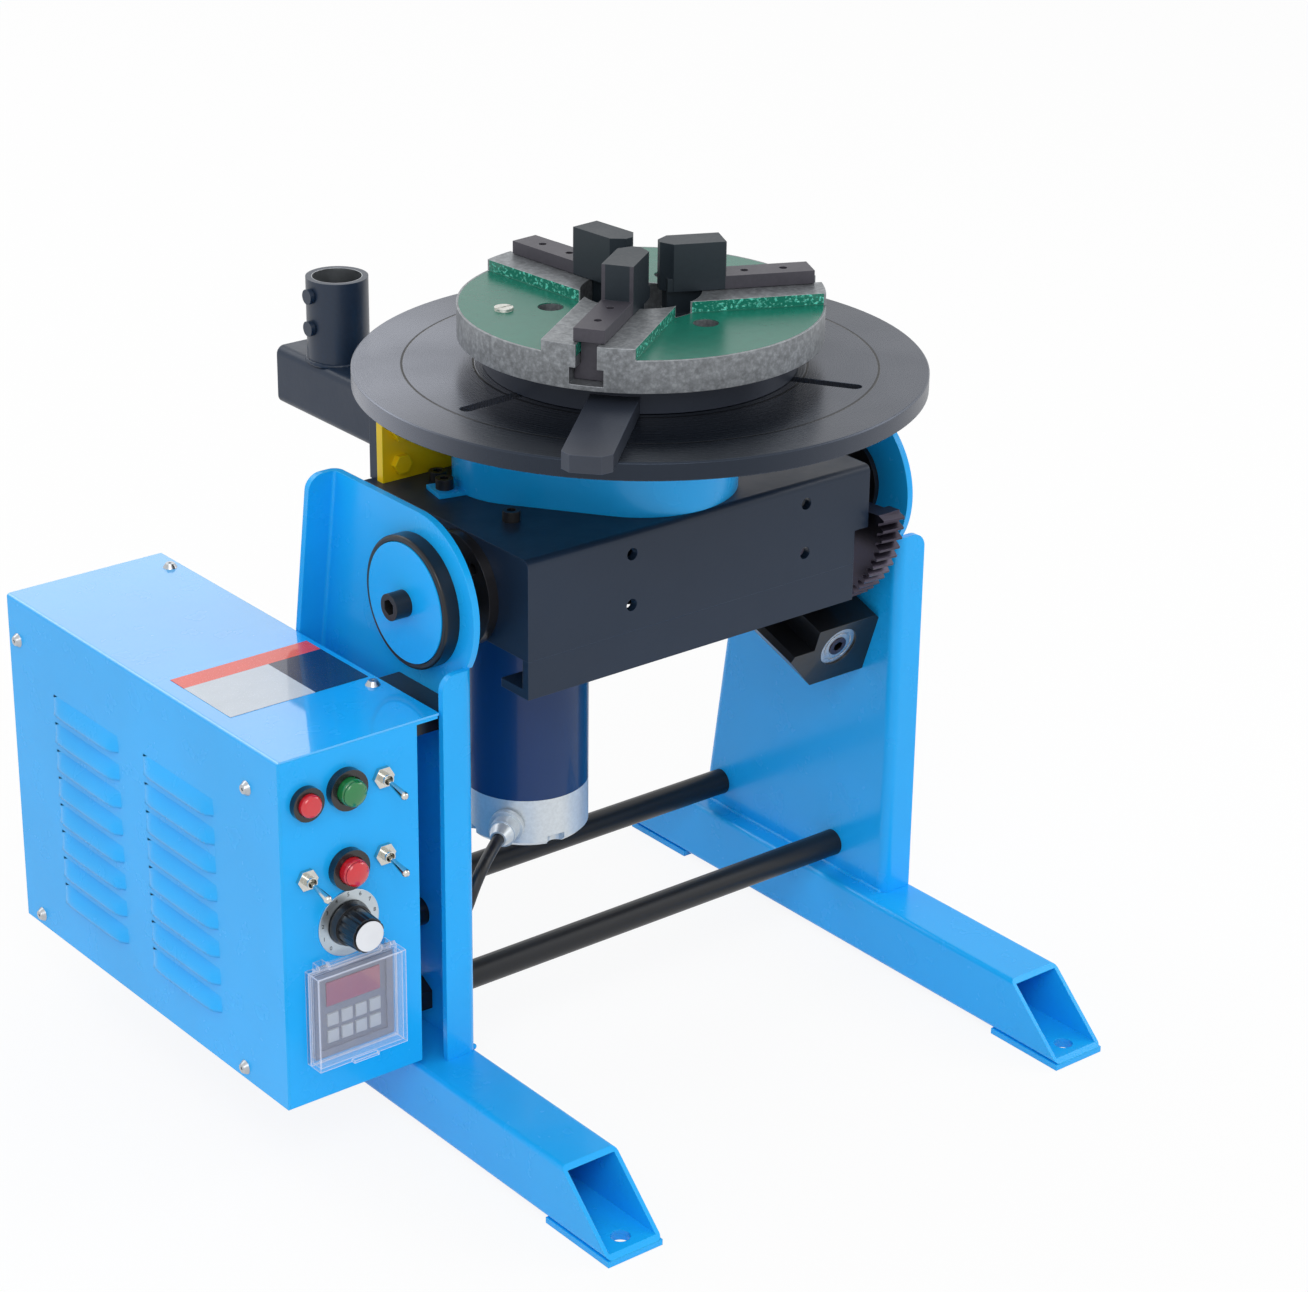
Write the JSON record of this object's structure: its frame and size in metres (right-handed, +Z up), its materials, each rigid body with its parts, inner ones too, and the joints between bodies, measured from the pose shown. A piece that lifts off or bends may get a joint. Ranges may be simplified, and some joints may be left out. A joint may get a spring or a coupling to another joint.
{
  "type": "tilting welding positioner",
  "caption": "Bench positioner: motor-driven table with scroll chuck on a carriage tilted by a hand worm between two side plates on tube feet, with control box.",
  "frame": {"origin": "centre of the four floor anchor holes, on the floor", "axes": "+X from the control box towards the tilt worm, +Y to the rear, +Z up along the spindle axis"},
  "size_m": [0.4546, 0.455, 0.469],
  "materials": {
    "sky_blue_paint": "gloss powder coat",
    "slate_paint": "satin powder coat",
    "navy_paint": "gloss enamel",
    "black_paint": "satin",
    "zinc_steel": "zinc plated",
    "yellow_zinc": "yellow zinc plated",
    "table_steel": "turned and blackened",
    "black_steel": "oil blackened",
    "jaw_steel": "hardened and ground",
    "chuck_iron": "machined rim, painted recesses",
    "bronze": "turned",
    "cast_aluminium": "die cast",
    "bright_steel": "polished",
    "black_plastic": "moulded",
    "knob_plastic": "moulded, white cap",
    "green_button": "moulded",
    "red_button": "moulded",
    "red_lens": "translucent",
    "clear_plastic": "clear polycarbonate",
    "display_glass": "smoked display window",
    "key_plastic": "moulded",
    "board": "circuit board and transformer",
    "cable_rubber": "smooth jacket",
    "rubber_pad": "gloss powder coat"
  },
  "bodies": {
    "frame": {"feet": "sky_blue_paint", "foot_pads": "rubber_pad", "left_side_plate": "sky_blue_paint", "right_side_plate": "sky_blue_paint", "tie_rods": "black_steel", "tie_rod_nuts": "black_steel", "tilt_bushes": "bronze", "hub_ring": "black_paint", "control_chassis": "sky_blue_paint", "control_cover": "sky_blue_paint", "cover_screws": "zinc_steel", "control_spacers": "black_paint", "control_bolts": "black_steel", "lamp_body": "black_plastic", "lamp_lens": "red_lens", "button_bezels": "bright_steel", "toggle_switches": "bright_steel", "dial_plate": "cast_aluminium", "potentiometer": "zinc_steel", "timer_body": "black_plastic", "timer_display": "display_glass", "timer_keys": "key_plastic", "timer_frame": "clear_plastic", "control_electronics": "board", "rear_connectors": "black_plastic", "motor_cable": "cable_rubber", "worm_housing": "black_paint", "worm_bearings": "zinc_steel"},
    "tilt_head": {"carriage": "slate_paint", "carriage_skirt": "slate_paint", "trunnions": "zinc_steel", "hub_cap": "sky_blue_paint", "hub_bolts": "black_steel", "tilt_sector": "zinc_steel", "spindle_housing": "black_paint", "spindle_bearings": "zinc_steel", "gear_guard": "sky_blue_paint", "deck_bolts": "black_steel", "motor_body": "navy_paint", "motor_end_cap": "cast_aluminium", "arm_bracket": "yellow_zinc", "column_arm": "slate_paint", "column_socket": "slate_paint"},
    "turntable": {"spindle": "zinc_steel", "table": "table_steel", "chuck_body": "chuck_iron"},
    "pinion": {"drive_pinion": "zinc_steel"},
    "worm": {"tilt_worm": "zinc_steel"},
    "scroll": {"scroll_plate": "black_steel"},
    "jaw_1": {"chuck_jaw_1": "jaw_steel"},
    "jaw_2": {"chuck_jaw_2": "jaw_steel"},
    "jaw_3": {"chuck_jaw_3": "jaw_steel"},
    "start": {"start_button": "green_button"},
    "stop": {"stop_button": "red_button"},
    "toggle_1": {"toggle_lever_1": "bright_steel"},
    "toggle_2": {"toggle_lever_2": "bright_steel"},
    "toggle_3": {"toggle_lever_3": "bright_steel"},
    "knob": {"speed_knob": "knob_plastic"},
    "lid": {"timer_lid": "clear_plastic"}
  },
  "joints": [
    {"name": "tilt", "type": "hinge", "parent": "frame", "child": "tilt_head", "pos_m": [0, 0.012, 0.2986], "axis": [1, 0, 0], "range_deg": [0, 90], "deforming": ["motor_cable"]},
    {"name": "worm_turn", "type": "hinge", "parent": "frame", "child": "worm", "pos_m": [0.131, 0.03805, 0.22296], "axis": [0, -0.9455, -0.3256], "range_deg": [0, 5940]},
    {"name": "table_spin", "type": "hinge", "parent": "tilt_head", "child": "turntable", "pos_m": [0, 0.012, 0.4015], "axis": [0, 0, 1], "continuous": true},
    {"name": "pinion_spin", "type": "hinge", "parent": "tilt_head", "child": "pinion", "pos_m": [-0.04809, 0.05293, 0.351], "axis": [0, 0, 1], "continuous": true},
    {"name": "scroll_turn", "type": "hinge", "parent": "turntable", "child": "scroll", "pos_m": [0, 0.012, 0.408], "axis": [0, 0, -1], "range_deg": [-180, 1080]},
    {"name": "jaw_1_slide", "type": "slide", "parent": "turntable", "child": "jaw_1", "axis": [-0.8192, -0.5736, 0], "range_m": [-0.004, 0.024]},
    {"name": "jaw_2_slide", "type": "slide", "parent": "turntable", "child": "jaw_2", "axis": [0.9063, -0.4226, 0], "range_m": [-0.004, 0.024]},
    {"name": "jaw_3_slide", "type": "slide", "parent": "turntable", "child": "jaw_3", "axis": [-0.0872, 0.9962, 0], "range_m": [-0.004, 0.024]},
    {"name": "start_press", "type": "slide", "parent": "frame", "child": "start", "axis": [0, 1, 0], "range_m": [0, 0.003], "stiffness_N_per_m": 300},
    {"name": "stop_press", "type": "slide", "parent": "frame", "child": "stop", "axis": [0, 1, 0], "range_m": [0, 0.003], "stiffness_N_per_m": 300},
    {"name": "toggle_1_flip", "type": "hinge", "parent": "frame", "child": "toggle_1", "pos_m": [-0.2035, -0.0335, 0.226], "axis": [1, 0, 0], "range_deg": [-24, 0]},
    {"name": "toggle_2_flip", "type": "hinge", "parent": "frame", "child": "toggle_2", "pos_m": [-0.2525, -0.0335, 0.181], "axis": [1, 0, 0], "range_deg": [-24, 0]},
    {"name": "toggle_3_flip", "type": "hinge", "parent": "frame", "child": "toggle_3", "pos_m": [-0.2035, -0.0335, 0.181], "axis": [1, 0, 0], "range_deg": [-24, 0]},
    {"name": "knob_turn", "type": "hinge", "parent": "frame", "child": "knob", "pos_m": [-0.227, -0.04, 0.1475], "axis": [0, 1, 0], "range_deg": [-140, 140]},
    {"name": "lid_open", "type": "hinge", "parent": "frame", "child": "lid", "pos_m": [-0.227, -0.0346, 0.129], "axis": [-1, 0, 0], "range_deg": [0, 75]}
  ],
  "couplings": [
    {"joint": "worm_turn", "follows": "tilt", "ratio": 66},
    {"joint": "pinion_spin", "follows": "table_spin", "ratio": -3.6667},
    {"joint": "jaw_1_slide", "follows": "scroll_turn", "m_per_rad": 0.0012732},
    {"joint": "jaw_2_slide", "follows": "scroll_turn", "m_per_rad": 0.0012732},
    {"joint": "jaw_3_slide", "follows": "scroll_turn", "m_per_rad": 0.0012732}
  ]
}
